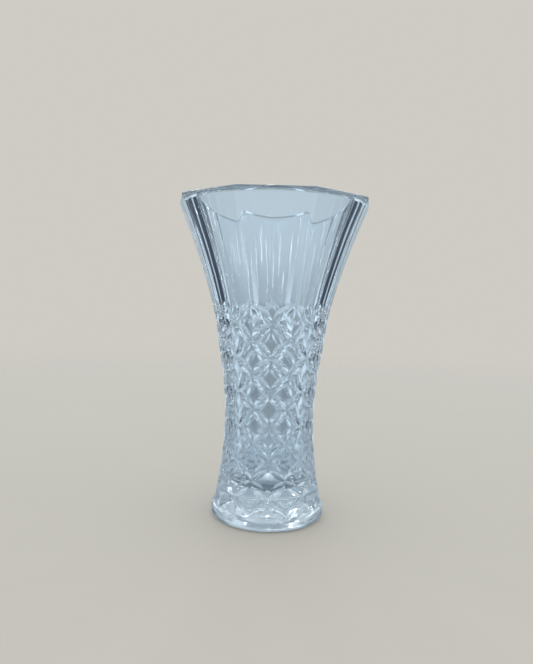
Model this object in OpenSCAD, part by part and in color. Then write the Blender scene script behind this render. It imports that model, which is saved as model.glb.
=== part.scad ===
// Cut crystal vase: one trumpet of thick clear glass on a solid round foot.
// The vase stands on the XY plane with its axis along Z, and a flat panel faces -Y.
// Each module is one zone of the glass, and neighbouring zones meet on a level plane.
// Lengths are in millimetres and angles in degrees.

/* [Overall shape] */
// Height from the table to the top of the lip
vase_h = 250; // [235:1:265]
// Outside radius of the mouth, measured to a ridge between two panels
mouth_r = 78.8; // [74:0.2:82]
// Outside radius of the waist, at its narrowest
waist_r = 35.8; // [34:0.1:38]
// Height of the waist
waist_z = 82; // [76:1:90]
// How late the flare opens: 1 is a straight cone
flare_power = 1.76; // [1.5:0.02:2]
// How far the body spreads again from the waist down to the table
skirt_spread = 10; // [8:0.5:12]

/* [Panels] */
// Flat panels round the flare, and columns of petals below them
panels = 9; // [8:1:10]
// Height where the round body starts to turn into flat panels
round_z = 135; // [125:1:150]

/* [Petal lattice] */
// Height of the lowest row of crossings, just above the foot
lattice_low = 10.8; // [10.8:0.1:12]
// Height of the highest row of crossings, where the ridges end
lattice_top = 170.4; // [165:0.2:175]
// Steps from the lowest row of crossings to the highest
lattice_rows = 12; // [10:2:14]
// Depth of a petal at its middle
cut_depth = 2; // [1:0.1:2.5]

/* [Inside] */
// Inside radius of the mouth
bore_mouth_r = 68.8; // [65:0.2:70]
// Inside radius from the waist down
bore_waist_r = 29; // [27:0.5:31]
// Radius of the curve between the inside wall and the floor
floor_curve = 14; // [10:0.5:18]

/* [Foot] */
// Outside radius of the foot
foot_r = 45.3; // [44.5:0.1:46]
// Radius of the curve under the foot
heel_r = 5; // [4:0.1:5.5]
// Height of the upright band above that curve
band_h = 2; // [1.5:0.1:2.5]
// Radius of the curve above the band
shoulder_r = 4.5; // [4.2:0.1:4.8]
// Radius of the hollow under the foot
punt_r = 30; // [26:0.5:33]
// Depth of the hollow under the foot
punt_depth = 3; // [2:0.1:4]

/* [Lip] */
// Height of the rounded lip, as a zone of its own
lip_h = 6; // [5:0.5:8]
// Radius of the lip's outer edge
lip_outer_r = 1.6; // [1:0.1:2]
// Radius of the lip's inner edge
lip_inner_r = 2.6; // [2:0.1:3]

/* [Hidden] */
glass = [0.78, 0.86, 0.93, 0.5];

half_column = 180 / panels;
row_h = (lattice_top - lattice_low) / lattice_rows;
// The floor lies level with the first row of crossings above the lowest
floor_z = lattice_low + row_h;
lip_z = vase_h - lip_h;

// Facets across half a column, and up one row, where petals are cut
petal_steps = 4;
// Facets across half a column where there are no petals
plain_steps = 2;
panel_bands = 10;
bore_bands = 10;
curve_bands = 5;
lip_bands = 4;

// 0 up to the height from, 1 above the height to, and a smooth change between them
function smooth_step(x, from, to) =
    let (t = min(1, max(0, (x - from) / (to - from))))
    t * t * (3 - 2 * t);

// Share of the flare that is reached at height z, from 0 at the waist to 1 at the mouth
function flare(z) = pow(max(0, z - waist_z) / (vase_h - waist_z), flare_power);

// Radius out to the ridges, the largest radius of the glass at height z
function ridge_r(z) =
    waist_r + (mouth_r - waist_r) * flare(z) + skirt_spread * pow(max(0, waist_z - z) / waist_z, 2);

// Radius of a regular polygon at azimuth az, as a share of the radius of its corners
function polygon_share(az) =
    let (from_centre = abs((az + half_column) % (2 * half_column) - half_column))
    cos(half_column) / cos(from_centre);

// Depth of the petal cuts. Crossings lie on a grid of half columns and rows, on every other
// grid point. In each cell a lens-shaped petal runs from one crossing to the other, between two
// arcs centred on the clear windows at the cell's other corners, hollowed as a round wheel cuts.
function petal_depth(az, z) =
    let (
        u = az / half_column,
        v = (z - lattice_low) / row_h,
        a = u - floor(u),
        b = v - floor(v),
        falling = (floor(u) + floor(v)) % 2 == 0,
        to_near_window = falling ? norm([a, b]) : norm([1 - a, b]),
        to_far_window = falling ? norm([1 - a, 1 - b]) : norm([a, 1 - b])
    )
    cut_depth * max(0, 1 - to_near_window) * max(0, 1 - to_far_window) / pow(1 - sqrt(1 / 2), 2);

// Radius of the outside at azimuth az and height z, between the foot and the lip
function outside_r(az, z) =
    let (flatness = smooth_step(z, round_z, lattice_top))
    ridge_r(z) * (1 - flatness + flatness * polygon_share(az))
    - (z < lattice_top ? petal_depth(az, z) : 0);

// Radius of the inside wall at height z
function bore_r(z) = bore_waist_r + (bore_mouth_r - bore_waist_r) * flare(z);

// The point at azimuth az, radius r and height z. Azimuth 0 faces -Y.
function at(az, r, z) = [r * sin(az), -r * cos(az), z];

// A ring of points on the outside at height z, drawn in by the length inset
function outside_ring(z, steps, inset = 0) = [
    for (k = [0 : 2 * panels * steps - 1])
        let (az = k * half_column / steps) at(az, outside_r(az, z) - inset, z)
];

// A level round ring of points
function round_ring(r, z, steps) = [
    for (k = [0 : 2 * panels * steps - 1]) at(k * half_column / steps, r, z)
];

// Rings up the outside from one height to another
function outside_rings(from, to, bands, steps) = [
    for (i = [0 : bands]) outside_ring(from + (to - from) * i / bands, steps)
];

// Rings down the inside from one height to another
function bore_rings(from, to, bands, steps) = [
    for (i = [0 : bands])
        let (z = from + (to - from) * i / bands) round_ring(bore_r(z), z, steps)
];

// A closed skin over a stack of rings. A loop joins the last ring to the first, as round a wall,
// and otherwise the first and the last ring are capped. A petal's middle lies on the diagonal of
// its cell, so the facets are split along it; first_row is the row that the first ring lies on.
module skin(rings, loop = true, steps = plain_steps, first_row = 0) {
    sides = len(rings[0]);
    count = len(rings);
    side_faces = [
        for (i = [0 : loop ? count - 1 : count - 2], k = [0 : sides - 1])
            let (
                p = i * sides + k,
                q = i * sides + (k + 1) % sides,
                above_p = (i + 1) % count * sides + k,
                above_q = (i + 1) % count * sides + (k + 1) % sides,
                falling = (floor(k / steps) + floor(i / steps) + first_row) % 2 == 0
            )
            each falling
                ? [[p, above_p, q], [q, above_p, above_q]]
                : [[p, above_p, above_q], [p, above_q, q]]
    ];
    caps = [[for (k = [0 : sides - 1]) k], [for (k = [sides - 1 : -1 : 0]) (count - 1) * sides + k]];
    polyhedron([for (ring = rings) each ring], concat(side_faces, loop ? [] : caps));
}

// The foot: a rounded heel, an upright band and a shoulder, hollowed underneath so that the
// vase stands on a ring
module foot() {
    punt_sphere_r = (punt_r * punt_r + punt_depth * punt_depth) / (2 * punt_depth);
    color(glass)
    difference() {
        rotate_extrude($fn = 96)
        intersection() {
            union() {
                square([foot_r - heel_r, lattice_low]);
                translate([foot_r - heel_r, heel_r]) circle(heel_r, $fn = 48);
                translate([0, heel_r]) square([foot_r, band_h]);
                translate([foot_r - shoulder_r, heel_r + band_h]) circle(shoulder_r, $fn = 48);
            }
            square([foot_r, lattice_low]);
        }
        translate([0, 0, punt_depth - punt_sphere_r]) sphere(punt_sphere_r, $fn = 96);
    }
}

// The solid glass between the foot and the floor of the vase, with the lowest petals
module base() {
    color(glass)
    skin(
        outside_rings(lattice_low, floor_z, petal_steps, petal_steps),
        loop = false,
        steps = petal_steps
    );
}

// The wall with the petal lattice, and the curve from the inside wall to the floor
module cut_wall() {
    outer = outside_rings(floor_z, lattice_top, (lattice_rows - 1) * petal_steps, petal_steps);
    inner = bore_rings(lattice_top, floor_z + floor_curve, bore_bands, petal_steps);
    curve = [
        for (i = [1 : curve_bands])
            let (turn = 90 * i / curve_bands)
            round_ring(
                bore_waist_r - floor_curve * (1 - cos(turn)),
                floor_z + floor_curve * (1 - sin(turn)),
                petal_steps
            )
    ];
    color(glass)
    skin(concat(outer, inner, curve), steps = petal_steps, first_row = 1);
}

// The flaring wall of flat panels, smooth and round inside
module panel_wall() {
    outer = outside_rings(lattice_top, lip_z, panel_bands, plain_steps);
    inner = bore_rings(lip_z, lattice_top, panel_bands, plain_steps);
    color(glass)
    skin(concat(outer, inner));
}

// The fire-polished lip, rounded on its outer and inner edge
module lip() {
    outer = [
        for (i = [0 : lip_bands])
            let (turn = 90 * i / lip_bands)
            outside_ring(
                vase_h - lip_outer_r * (1 - sin(turn)),
                plain_steps,
                lip_outer_r * (1 - cos(turn))
            )
    ];
    inner = [
        for (i = [lip_bands : -1 : 0])
            let (
                turn = 90 * i / lip_bands,
                z = vase_h - lip_inner_r * (1 - sin(turn))
            )
            round_ring(bore_r(z) + lip_inner_r * (1 - cos(turn)), z, plain_steps)
    ];
    color(glass)
    skin(concat(
        [outside_ring(lip_z, plain_steps)],
        outer,
        inner,
        [round_ring(bore_r(lip_z), lip_z, plain_steps)]
    ));
}

foot();
base();
cut_wall();
panel_wall();
lip();
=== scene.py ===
"""A cut crystal vase in a plain studio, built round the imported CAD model.

The real vase is one piece of glass, so the looks are one closed mesh that stands for every CAD
zone: a rounded foot, a lattice of petal cuts, a flare of flat panels, a rounded lip and a smooth
round inside. Lengths are in metres, and azimuth 0 faces -Y.
"""
import math

import bmesh
import bpy
from mathutils import Matrix, Vector


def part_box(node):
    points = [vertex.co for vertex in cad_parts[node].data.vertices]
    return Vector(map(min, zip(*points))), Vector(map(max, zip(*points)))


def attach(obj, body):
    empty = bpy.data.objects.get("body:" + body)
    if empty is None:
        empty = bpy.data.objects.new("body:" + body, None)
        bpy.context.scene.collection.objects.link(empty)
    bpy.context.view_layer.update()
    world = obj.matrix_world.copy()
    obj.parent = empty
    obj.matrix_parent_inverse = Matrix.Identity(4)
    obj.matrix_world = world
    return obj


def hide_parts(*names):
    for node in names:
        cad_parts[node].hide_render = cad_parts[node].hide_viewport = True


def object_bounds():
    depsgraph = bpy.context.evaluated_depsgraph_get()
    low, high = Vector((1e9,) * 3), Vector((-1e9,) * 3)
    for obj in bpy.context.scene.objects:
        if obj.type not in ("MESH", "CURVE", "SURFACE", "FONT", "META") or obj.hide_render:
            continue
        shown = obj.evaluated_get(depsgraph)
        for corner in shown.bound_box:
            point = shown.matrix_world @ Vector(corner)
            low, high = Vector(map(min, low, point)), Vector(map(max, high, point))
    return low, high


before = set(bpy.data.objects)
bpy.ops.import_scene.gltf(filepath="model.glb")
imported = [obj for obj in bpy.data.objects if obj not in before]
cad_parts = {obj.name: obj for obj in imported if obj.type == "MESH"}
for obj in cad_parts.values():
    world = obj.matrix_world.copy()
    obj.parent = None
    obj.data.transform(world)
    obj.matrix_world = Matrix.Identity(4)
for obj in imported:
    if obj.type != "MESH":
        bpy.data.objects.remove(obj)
cad_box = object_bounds()

MM = 0.001

# Heights, from the CAD zones
VASE_H = cad_box[1].z
LATTICE_LOW, FLOOR_Z = (corner.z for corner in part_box("base"))
LATTICE_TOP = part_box("cut_wall")[1].z
LATTICE_ROWS = 12
ROW_H = (LATTICE_TOP - LATTICE_LOW) / LATTICE_ROWS

# The outside and the inside of the glass, as in the CAD model
PANELS = 9
MOUTH_R = 78.8 * MM
WAIST_R = 35.8 * MM
WAIST_Z = 82 * MM
FLARE_POWER = 1.76
SKIRT_SPREAD = 10 * MM
ROUND_Z = 135 * MM
CUT_DEPTH = 2 * MM
BORE_MOUTH_R = 68.8 * MM
BORE_WAIST_R = 29 * MM
FLOOR_CURVE = 14 * MM
FOOT_R = 45.3 * MM
HEEL_R = 5 * MM
BAND_H = 2 * MM
SHOULDER_R = 4.5 * MM
PUNT_R = 30 * MM
PUNT_DEPTH = 3 * MM
LIP_OUTER_R = 1.6 * MM
LIP_INNER_R = 2.6 * MM
# A real ridge between two panels is slightly rounded
RIDGE_ROUNDING = 5 * MM

HALF_COLUMN = math.pi / PANELS

# How finely the mesh follows the shape: steps along a petal's edge, across a petal, across a
# window, along a cell's edge, up the panels, down the inside wall and round a quarter turn
PETAL_STEPS = 16
GROOVE_STEPS = 4
WINDOW_STEPS = 2
EDGE_STEPS = PETAL_STEPS // 2
PANEL_BANDS = 24
BORE_BANDS = 40
ARC_STEPS = 10
# How strongly the points on a cell's edge crowd towards a crossing: 1 is evenly spaced
EDGE_CROWDING = 1.5
# Width over which the edge of a petal is rounded, on each side, and the largest share of a
# stretch of the mesh that it may take up
EDGE_ROUNDING = 0.35 * MM
EDGE_ROUNDING_SHARE = 0.4
SHARP_ANGLE = math.radians(60)
MERGE_DISTANCE = 0.002 * MM

# The glass
GLASS_TINT = (0.93, 0.965, 1, 1)
GLASS_IOR = 1.54
# Roughness follows the height, in pairs of a height and a roughness, and fine scratches vary it.
# The outside is polished, apart from fine wear where it stands.
SCRATCH_SCALE = 900
SCRATCH_DETAIL = 4
OUTSIDE_ROUGHNESS = ((0, 0.25), (4 * MM, 0))
OUTSIDE_WAVES = (28, 28, 28)
OUTSIDE_WAVE_DEPTH = 0.06 * MM
# The inside was pressed and never cut: it is drawn out into faint upright waves, and water has
# left a slight haze in it, thickest on the floor
INSIDE_ROUGHNESS = (
    (FLOOR_Z, 0.7), (FLOOR_Z + 9 * MM, 0.23), (LATTICE_TOP - 30 * MM, 0.23), (LATTICE_TOP, 0.08),
)
INSIDE_WAVES = (110, 110, 18)
INSIDE_WAVE_DEPTH = 0.08 * MM

# The studio: a pale floor that fades out, with the distance, into a plain pale backdrop
FLOOR_R = 1.6
FLOOR_COLOUR = (0.86, 0.72, 0.60, 1)
FLOOR_FADE = (0.3, 1.5)
FLOOR_ROUGHNESS = 0.6
FLOOR_SEGMENTS = 64
# The glass shows only the floor close round it, and in a darker, cooler copy of its paint: painted
# shade, as if the floor lay under dimmer, cooler light
SHADED_FLOOR_COLOUR_IN_GLASS = (0.57, 0.63, 0.68, 1)
FLOOR_IN_GLASS_FADE = (0.06, 0.3)
# Glass that stands on a table only touches it at a few points, and the air between them keeps
# its underside bright
AIR_GAP = 0.1 * MM
BACKDROP_COLOUR = (0.62, 0.60, 0.56, 1)
# The light that the glass gathers is cool, and its brightness follows the height of its
# direction, as a sine
STUDIO_COLOUR = (0.835, 1, 1.10, 1)
STUDIO_BRIGHTNESS = (
    (-0.8, 0.6), (-0.5, 1.06), (-0.12, 1.06), (0.05, 0.52), (0.16, 0.57), (0.42, 0.54), (0.56, 0.60),
    (0.62, 0.8), (0.77, 0.8), (0.83, 0.6),
)
# Four grey cards stand before, behind and to the sides of the vase, and set off the cuts. Between
# them stand four tall dark screens, each with a thinner middle, which draw the dark lines at the
# edges of the glass. Their shade follows the height of the direction too, and its turn, which is 0
# in the middle of a card and 0.5 in the middle of a screen.
CARD_SHADE = ((-0.55, 0), (-0.45, 0.71), (-0.09, 0.71), (0.09, 0))
CARD_PROFILE = ((0.155, 1), (0.235, 0))
SCREEN_SHADE = ((-0.5, 0), (-0.34, 1), (0.26, 1), (0.42, 0))
SCREEN_PROFILE = ((0.34, 0), (0.4, 1), (0.49, 1), (0.499, 0.45))
SCREEN_AZIMUTH = math.radians(53.5)
SLATE_COLOUR = (0.03, 0.045, 0.075, 1)
# A ring of small lamps gives the streaks and sparkles
LAMPS = 18
LAMP_RING_R = 1.25
LAMP_HEIGHTS = (1.2, 0.95, 1.45)
LAMP_WIDTH = 0.03
LAMP_LENGTH = 0.3
LAMP_POWER = 0.4

# The camera: a hand-held close view, a little above the vase's middle and slightly rolled
CAMERA_AZIMUTH = math.radians(-0.66)
CAMERA_DISTANCE = 1.847 * VASE_H
CAMERA_HEIGHT = 0.7 * VASE_H
CAMERA_TILT = math.radians(3.44)
CAMERA_TURN = math.radians(-0.48)
CAMERA_ROLL = math.radians(1.49)
CAMERA_LENS = 31.21

# How far light is followed through the glass, and the brightest that a path may get on its way
MAX_BOUNCES = 24
GLOSSY_BOUNCES = 12
TRANSPARENT_BOUNCES = 16
BRIGHTEST_PATH = 20


# The shape of the glass

def smooth_step(x, start, end):
    t = min(1, max(0, (x - start) / (end - start)))
    return t * t * (3 - 2 * t)


def flare(z):
    """Share of the flare that is reached at height z, from 0 at the waist to 1 at the mouth."""
    return (max(0, z - WAIST_Z) / (VASE_H - WAIST_Z)) ** FLARE_POWER


def ridge_radius(z):
    skirt = SKIRT_SPREAD * (max(0, WAIST_Z - z) / WAIST_Z) ** 2
    return WAIST_R + (MOUTH_R - WAIST_R) * flare(z) + skirt


def bore_radius(z):
    return BORE_WAIST_R + (BORE_MOUTH_R - BORE_WAIST_R) * flare(z)


def polygon_radius(azimuth, corner):
    """Radius of a regular polygon with rounded corners, which would reach corner if sharp."""
    from_ridge = abs(azimuth % (2 * HALF_COLUMN) - HALF_COLUMN)
    apothem = corner * math.cos(HALF_COLUMN)
    centre = (apothem - RIDGE_ROUNDING) / math.cos(HALF_COLUMN)
    tangent = math.atan2(
        RIDGE_ROUNDING * math.sin(HALF_COLUMN),
        centre + RIDGE_ROUNDING * math.cos(HALF_COLUMN),
    )
    if from_ridge >= tangent:
        return apothem / math.cos(HALF_COLUMN - from_ridge)
    reach = RIDGE_ROUNDING ** 2 - (centre * math.sin(from_ridge)) ** 2
    return centre * math.cos(from_ridge) + math.sqrt(reach)


def skin_radius(azimuth, z):
    """Radius of the outside before the petals are cut: round low down, flat panels above."""
    corner = ridge_radius(z)
    flatness = smooth_step(z, ROUND_Z, LATTICE_TOP)
    return corner * (1 - flatness) + polygon_radius(azimuth, corner) * flatness


def point(azimuth, radius, z):
    return Vector((radius * math.sin(azimuth), -radius * math.cos(azimuth), z))


# The mesh, as rings of points from the foot's middle, up the outside, and down the inside

def edge_share(step):
    """How far along a cell's edge a step lies, from a crossing at 0 to a window's centre at 1."""
    return (step / EDGE_STEPS) ** EDGE_CROWDING


def ring_azimuths():
    """Azimuths of a ring of points, crowded at the ridges as the lattice's top row is."""
    azimuths = []
    for half in range(2 * PANELS):
        for step in range(EDGE_STEPS):
            if half % 2:
                share = edge_share(step)
            else:
                share = 1 - edge_share(EDGE_STEPS - step)
            azimuths.append((half + share) * HALF_COLUMN)
    return azimuths


AZIMUTHS = ring_azimuths()


def turned_ring(radius, z):
    return [point(azimuth, radius, z) for azimuth in AZIMUTHS]


def skin_ring(z, inset=0):
    return [point(azimuth, skin_radius(azimuth, z) - inset, z) for azimuth in AZIMUTHS]


def quarter_turns():
    """Angles from 0 to a right angle."""
    return [math.pi / 2 * i / ARC_STEPS for i in range(ARC_STEPS + 1)]


def foot_rings():
    """From the middle of the hollow underneath, over the heel, to the foot of the lattice."""
    sphere_r = (PUNT_R ** 2 + PUNT_DEPTH ** 2) / (2 * PUNT_DEPTH)
    rings = []
    for i in range(1, ARC_STEPS + 1):
        radius = PUNT_R * i / ARC_STEPS
        height = PUNT_DEPTH - sphere_r + math.sqrt(sphere_r ** 2 - radius ** 2)
        rings.append(turned_ring(radius, height))
    heel_centre = FOOT_R - HEEL_R
    for turn in quarter_turns():
        rings.append(turned_ring(
            heel_centre + HEEL_R * math.sin(turn), HEEL_R * (1 - math.cos(turn))))
    shoulder_centre = FOOT_R - SHOULDER_R
    shoulder_z = HEEL_R + BAND_H
    last_turn = math.asin((LATTICE_LOW - shoulder_z) / SHOULDER_R)
    for i in range(ARC_STEPS):
        turn = last_turn * i / ARC_STEPS
        rings.append(turned_ring(
            shoulder_centre + SHOULDER_R * math.cos(turn),
            shoulder_z + SHOULDER_R * math.sin(turn),
        ))
    return rings


def panel_rings():
    """Up the flat panels, from the top of the lattice to the lip."""
    start_z = LATTICE_TOP
    end_z = VASE_H - LIP_OUTER_R
    return [skin_ring(start_z + (end_z - start_z) * i / PANEL_BANDS) for i in range(PANEL_BANDS)]


def lip_rings():
    rings = []
    for turn in quarter_turns():
        z = VASE_H - LIP_OUTER_R * (1 - math.sin(turn))
        rings.append(skin_ring(z, LIP_OUTER_R * (1 - math.cos(turn))))
    for turn in reversed(quarter_turns()):
        z = VASE_H - LIP_INNER_R * (1 - math.sin(turn))
        rings.append(turned_ring(bore_radius(z) + LIP_INNER_R * (1 - math.cos(turn)), z))
    return rings


def bore_rings():
    """Down the inside wall and round the curve to the floor."""
    start_z = VASE_H - LIP_INNER_R
    end_z = FLOOR_Z + FLOOR_CURVE
    rings = []
    for i in range(1, BORE_BANDS):
        z = start_z + (end_z - start_z) * i / BORE_BANDS
        rings.append(turned_ring(bore_radius(z), z))
    for turn in quarter_turns():
        rings.append(turned_ring(
            BORE_WAIST_R - FLOOR_CURVE * (1 - math.cos(turn)),
            FLOOR_Z + FLOOR_CURVE * (1 - math.sin(turn)),
        ))
    return rings


def petal_depth(across, up):
    """Depth of the petal at a point of a cell whose petal runs from corner 0, 0 to corner 1, 1.

    The clear windows are centred on the two other corners. The petal lies within one cell's edge
    of both, and is hollowed like the cut of a round wheel."""
    inside_first = max(0, 1 - math.hypot(1 - across, up))
    inside_second = max(0, 1 - math.hypot(across, 1 - up))
    return CUT_DEPTH * inside_first * inside_second / (1 - math.sqrt(0.5)) ** 2


def spread(start, end, steps, rounding_at_start=False, rounding_at_end=False):
    """Points of a cell from start up to, but without, end, with one close to a rounded edge."""
    length = max(MERGE_DISTANCE, (end - start).length * ROW_H)
    near = min(EDGE_ROUNDING_SHARE, EDGE_ROUNDING / length)
    low = near if rounding_at_start else 0
    high = 1 - near if rounding_at_end else 1
    shares = [low + (high - low) * i / steps for i in range(steps)]
    if rounding_at_start:
        shares.insert(0, 0)
    if rounding_at_end:
        shares.append(high)
    return [start.lerp(end, share) for share in shares]


def half_cell_rows():
    """Rows of points that fill the half of a cell on one side of its petal's middle.

    Each row runs from the cell's edge to the petal's edge, an arc, and on to the middle."""
    rows = []
    for step in range(PETAL_STEPS + 1):
        turn = math.pi / 2 * step / PETAL_STEPS
        arc = Vector((math.sin(turn), 1 - math.cos(turn)))
        middle = Vector((arc.x + arc.y, arc.x + arc.y)) / 2
        if step <= EDGE_STEPS:
            edge = Vector((edge_share(step), 0))
        else:
            edge = Vector((1, 1 - edge_share(PETAL_STEPS - step)))
        row = spread(edge, arc, WINDOW_STEPS, rounding_at_end=True)
        row += spread(arc, middle, GROOVE_STEPS, rounding_at_start=True)
        rows.append(row + [middle])
    return rows


def add_grid(mesh, grid, flip=False, closed=False):
    """Faces between the lines of a grid of vertices. Closed joins each line's end to its start."""
    for low, high in zip(grid, grid[1:]):
        count = len(low)
        for i in range(count if closed else count - 1):
            j = (i + 1) % count
            corners = (low[i], low[j], high[j], high[i])
            mesh.faces.new(reversed(corners) if flip else corners)


def add_half_cell(mesh, rows, column, row_index, falling, mirrored):
    grid = []
    for row in rows:
        line = []
        for place in row:
            across, up = (place.y, place.x) if mirrored else (place.x, place.y)
            depth = petal_depth(across, up)
            if falling:
                across = 1 - across
            azimuth = (column + across) * HALF_COLUMN
            z = LATTICE_LOW + (row_index + up) * ROW_H
            line.append(mesh.verts.new(point(azimuth, skin_radius(azimuth, z) - depth, z)))
        grid.append(line)
    add_grid(mesh, grid, flip=(falling == mirrored))


def add_lattice(mesh):
    rows = half_cell_rows()
    for column in range(2 * PANELS):
        for row_index in range(LATTICE_ROWS):
            falling = (column + row_index) % 2 == 0
            for mirrored in (False, True):
                add_half_cell(mesh, rows, column, row_index, falling, mirrored)


def add_rings(mesh, rings):
    grid = [[mesh.verts.new(place) for place in ring] for ring in rings]
    add_grid(mesh, grid, closed=True)
    return grid


def add_cap(mesh, ring, z, flip):
    """Closes a ring of vertices with a fan round a vertex on the axis."""
    middle = mesh.verts.new((0, 0, z))
    for i, vertex in enumerate(ring):
        following = ring[(i + 1) % len(ring)]
        corners = (vertex, middle, following)
        mesh.faces.new(reversed(corners) if flip else corners)


def is_inside(place):
    """Whether a place on the skin lies on the inside wall or the floor of the vase."""
    return place.z > FLOOR_Z - MM and place.xy.length < bore_radius(place.z) + MM


def build_vase():
    mesh = bmesh.new()
    below = add_rings(mesh, foot_rings() + [skin_ring(LATTICE_LOW)])
    add_cap(mesh, below[0], PUNT_DEPTH, flip=True)
    add_lattice(mesh)
    above = add_rings(mesh, panel_rings() + lip_rings() + bore_rings())
    add_cap(mesh, above[-1], FLOOR_Z, flip=False)
    bmesh.ops.remove_doubles(mesh, verts=mesh.verts, dist=MERGE_DISTANCE)
    bmesh.ops.dissolve_degenerate(mesh, edges=mesh.edges, dist=MERGE_DISTANCE / 4)
    bmesh.ops.recalc_face_normals(mesh, faces=mesh.faces)
    data = bpy.data.meshes.new("crystal_vase")
    for face in mesh.faces:
        face.material_index = int(is_inside(face.calc_center_median()))
    mesh.to_mesh(data)
    mesh.free()
    data.shade_smooth()
    data.set_sharp_from_angle(angle=SHARP_ANGLE)
    vase = bpy.data.objects.new("crystal_vase", data)
    bpy.context.scene.collection.objects.link(vase)
    return vase


# Materials

def new_material(name):
    material = bpy.data.materials.new(name)
    material.use_nodes = True
    material.node_tree.nodes.clear()
    return material, material.node_tree


def add_node(tree, kind, **settings):
    node = tree.nodes.new(kind)
    for key, value in settings.items():
        setattr(node, key, value)
    return node


def add_math(tree, operation, *values):
    node = add_node(tree, "ShaderNodeMath", operation=operation)
    for socket, value in zip(node.inputs, values):
        if isinstance(value, bpy.types.NodeSocket):
            tree.links.new(value, socket)
        else:
            socket.default_value = value
    return node.outputs["Value"]


def add_map_range(tree, value, edges, interpolation="SMOOTHSTEP"):
    """A value that goes from 0 at the first of two edges to 1 at the second."""
    node = add_node(tree, "ShaderNodeMapRange", interpolation_type=interpolation)
    node.inputs["From Min"].default_value, node.inputs["From Max"].default_value = edges
    tree.links.new(value, node.inputs["Value"])
    return node.outputs["Result"]


def add_ramp(tree, value, edges, stops):
    """A result that changes smoothly through stops, pairs of a value and the result there.

    The values lie between the two edges, and the first and the last stop hold beyond them."""
    ramp = add_node(tree, "ShaderNodeValToRGB")
    ramp.color_ramp.interpolation = "EASE"
    elements = ramp.color_ramp.elements
    elements.remove(elements[1])
    for i, (place, result) in enumerate(stops):
        position = (place - edges[0]) / (edges[1] - edges[0])
        if i == 0:
            stop = elements[0]
            stop.position = position
        else:
            stop = elements.new(position)
        stop.color = (result, result, result, 1)
    tree.links.new(add_map_range(tree, value, edges, "LINEAR"), ramp.inputs["Fac"])
    return ramp.outputs["Color"]


def mix_shaders(tree, share, first, second):
    """The first shader where share is 0, and the second where it is 1."""
    mix = add_node(tree, "ShaderNodeMixShader")
    tree.links.new(share, mix.inputs["Fac"])
    tree.links.new(first, mix.inputs[1])
    tree.links.new(second, mix.inputs[2])
    return mix.outputs["Shader"]


def crystal_material(name, roughness_by_height, waves, wave_depth):
    """Clear, faintly blue crystal with slight waves, and fine scratches where it isn't polished.

    Waves counts them in a metre along each axis."""
    material, tree = new_material(name)
    output = add_node(tree, "ShaderNodeOutputMaterial")
    glass = add_node(tree, "ShaderNodeBsdfPrincipled")
    glass.inputs["Base Color"].default_value = GLASS_TINT
    glass.inputs["Transmission Weight"].default_value = 1
    glass.inputs["IOR"].default_value = GLASS_IOR
    tree.links.new(glass.outputs["BSDF"], output.inputs["Surface"])

    place = add_node(tree, "ShaderNodeTexCoord")
    stretch = add_node(tree, "ShaderNodeVectorMath", operation="MULTIPLY")
    stretch.inputs[1].default_value = waves
    noise = add_node(tree, "ShaderNodeTexNoise")
    noise.inputs["Scale"].default_value = 1
    noise.inputs["Detail"].default_value = 1
    bump = add_node(tree, "ShaderNodeBump")
    bump.inputs["Strength"].default_value = 1
    bump.inputs["Distance"].default_value = wave_depth
    tree.links.new(place.outputs["Object"], stretch.inputs[0])
    tree.links.new(stretch.outputs["Vector"], noise.inputs["Vector"])
    tree.links.new(noise.outputs["Fac"], bump.inputs["Height"])
    tree.links.new(bump.outputs["Normal"], glass.inputs["Normal"])

    split = add_node(tree, "ShaderNodeSeparateXYZ")
    scratches = add_node(tree, "ShaderNodeTexNoise")
    scratches.inputs["Scale"].default_value = SCRATCH_SCALE
    scratches.inputs["Detail"].default_value = SCRATCH_DETAIL
    tree.links.new(place.outputs["Object"], split.inputs["Vector"])
    tree.links.new(place.outputs["Object"], scratches.inputs["Vector"])
    by_height = add_ramp(tree, split.outputs["Z"], (0, VASE_H), roughness_by_height)
    scratched = add_math(tree, "MULTIPLY", by_height, scratches.outputs["Fac"])
    tree.links.new(scratched, glass.inputs["Roughness"])
    return material


def floor_material():
    """Plain pale matte paint, which fades out far from the vase, and sooner for the glass, which
    sees a darker, cooler copy of it as painted shade.
    """
    material, tree = new_material("pale_floor")
    output = add_node(tree, "ShaderNodeOutputMaterial")
    place = add_node(tree, "ShaderNodeTexCoord")
    distance = add_node(tree, "ShaderNodeVectorMath", operation="LENGTH")
    tree.links.new(place.outputs["Object"], distance.inputs[0])
    looks = []
    # For the glass, painted shade: a darker, cooler copy of the floor's paint; for the camera, the
    # plain pale floor
    for colour, fade_edges in (
        (SHADED_FLOOR_COLOUR_IN_GLASS, FLOOR_IN_GLASS_FADE), (FLOOR_COLOUR, FLOOR_FADE),
    ):
        paint = add_node(tree, "ShaderNodeBsdfPrincipled")
        paint.inputs["Base Color"].default_value = colour
        paint.inputs["Roughness"].default_value = FLOOR_ROUGHNESS
        clear = add_node(tree, "ShaderNodeBsdfTransparent")
        fade = add_map_range(tree, distance.outputs["Value"], fade_edges)
        looks.append(mix_shaders(tree, fade, paint.outputs["BSDF"], clear.outputs["BSDF"]))
    path = add_node(tree, "ShaderNodeLightPath")
    seen = mix_shaders(tree, path.outputs["Is Camera Ray"], *looks)
    tree.links.new(seen, output.inputs["Surface"])
    return material


# The studio

def make_floor():
    mesh = bmesh.new()
    bmesh.ops.create_circle(mesh, cap_ends=True, segments=FLOOR_SEGMENTS, radius=FLOOR_R)
    data = bpy.data.meshes.new("floor")
    mesh.to_mesh(data)
    mesh.free()
    floor = bpy.data.objects.new("floor", data)
    floor.location.z = -AIR_GAP
    bpy.context.scene.collection.objects.link(floor)
    data.materials.append(floor_material())


def add_screens(tree, height, turn, profile, shade):
    """How far a ring of four screens hides the light, by a profile across and a shade by height."""
    hidden = add_ramp(tree, turn, (0, 0.5), profile)
    return add_math(tree, "MULTIPLY", hidden, add_ramp(tree, height, (-1, 1), shade))


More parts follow.
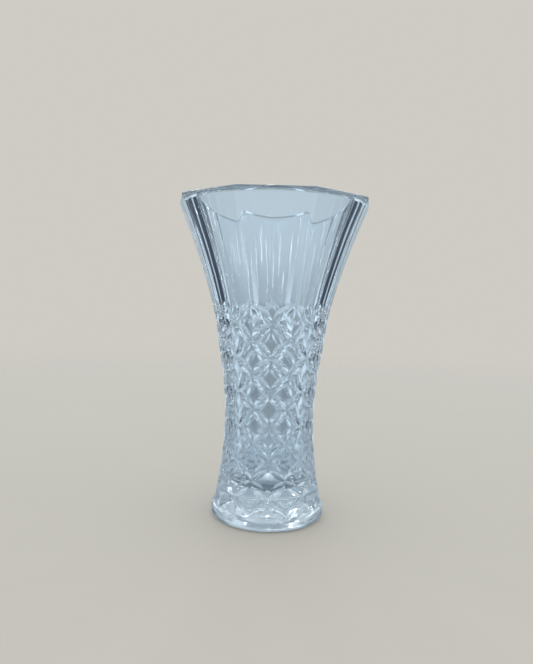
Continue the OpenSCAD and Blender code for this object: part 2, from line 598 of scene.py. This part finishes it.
def make_world():
    """A plain backdrop for the camera, and for all else the studio's light, cards and screens."""
    world = bpy.data.worlds.new("studio")
    world.use_nodes = True
    tree = world.node_tree
    tree.nodes.clear()
    place = add_node(tree, "ShaderNodeTexCoord")
    split = add_node(tree, "ShaderNodeSeparateXYZ")
    tree.links.new(place.outputs["Generated"], split.inputs["Vector"])
    x, y, z = (split.outputs[name] for name in "XYZ")
    # With X drawn in, the screens stand at their azimuth instead of halfway between the cards
    x = add_math(tree, "MULTIPLY", x, 1 / math.tan(SCREEN_AZIMUTH))
    squares = add_math(tree, "ADD", add_math(tree, "POWER", x, 2), add_math(tree, "POWER", y, 2))
    diagonal = add_math(tree, "ABSOLUTE", add_math(tree, "MULTIPLY", x, y))
    turn = add_math(tree, "DIVIDE", diagonal, squares)

    cards = add_screens(tree, z, turn, CARD_PROFILE, CARD_SHADE)
    past_cards = add_math(tree, "SUBTRACT", 1, cards)
    brightness = add_ramp(tree, z, (-1, 1), STUDIO_BRIGHTNESS)
    lights = {}
    for name, colour in (
        ("studio", STUDIO_COLOUR), ("slate", SLATE_COLOUR), ("backdrop", BACKDROP_COLOUR),
    ):
        background = add_node(tree, "ShaderNodeBackground")
        background.inputs["Color"].default_value = colour
        lights[name] = background
    tree.links.new(
        add_math(tree, "MULTIPLY", brightness, past_cards), lights["studio"].inputs["Strength"])
    screens = add_screens(tree, z, turn, SCREEN_PROFILE, SCREEN_SHADE)
    gathered = mix_shaders(
        tree, screens, lights["studio"].outputs["Background"], lights["slate"].outputs["Background"])
    path = add_node(tree, "ShaderNodeLightPath")
    seen = mix_shaders(
        tree, path.outputs["Is Camera Ray"], gathered, lights["backdrop"].outputs["Background"])
    output = add_node(tree, "ShaderNodeOutputWorld")
    tree.links.new(seen, output.inputs["Surface"])
    bpy.context.scene.world = world


def make_lamps():
    for i in range(LAMPS):
        data = bpy.data.lights.new(f"lamp_{i}", "AREA")
        data.shape = "RECTANGLE"
        data.size = LAMP_WIDTH
        data.size_y = LAMP_LENGTH
        data.energy = LAMP_POWER
        lamp = bpy.data.objects.new(data.name, data)
        bpy.context.scene.collection.objects.link(lamp)
        height = LAMP_HEIGHTS[i % len(LAMP_HEIGHTS)]
        place = point(2 * math.pi * i / LAMPS, LAMP_RING_R, height)
        aim = Vector((0, 0, VASE_H / 2)) - place
        turn = aim.to_track_quat("-Z", "Y").to_matrix().to_4x4()
        lamp.matrix_world = Matrix.Translation(place) @ turn
        lamp.visible_camera = False


def make_camera():
    data = bpy.data.cameras.new("camera")
    data.lens = CAMERA_LENS
    camera = bpy.data.objects.new("camera", data)
    bpy.context.scene.collection.objects.link(camera)
    heading = CAMERA_TURN - CAMERA_AZIMUTH
    turn = Matrix.Rotation(-heading, 4, "Z")
    tilt = Matrix.Rotation(math.pi / 2 - CAMERA_TILT, 4, "X")
    roll = Matrix.Rotation(CAMERA_ROLL, 4, "Z")
    place = Matrix.Translation(point(CAMERA_AZIMUTH, CAMERA_DISTANCE, CAMERA_HEIGHT))
    camera.matrix_world = place @ turn @ tilt @ roll
    bpy.context.scene.camera = camera


def set_view():
    scene = bpy.context.scene
    scene.view_settings.view_transform = "Standard"
    scene.cycles.max_bounces = MAX_BOUNCES
    scene.cycles.transmission_bounces = MAX_BOUNCES
    scene.cycles.glossy_bounces = GLOSSY_BOUNCES
    scene.cycles.transparent_max_bounces = TRANSPARENT_BOUNCES
    scene.cycles.sample_clamp_indirect = BRIGHTEST_PATH
    scene.cycles.use_denoising = True


make_camera()
make_world()
make_floor()
make_lamps()
set_view()

vase = build_vase()
vase.data.materials.append(crystal_material(
    "outside_crystal", OUTSIDE_ROUGHNESS, OUTSIDE_WAVES, OUTSIDE_WAVE_DEPTH))
vase.data.materials.append(crystal_material(
    "inside_crystal", INSIDE_ROUGHNESS, INSIDE_WAVES, INSIDE_WAVE_DEPTH))
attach(vase, "root")
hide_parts("foot", "base", "cut_wall", "panel_wall", "lip")
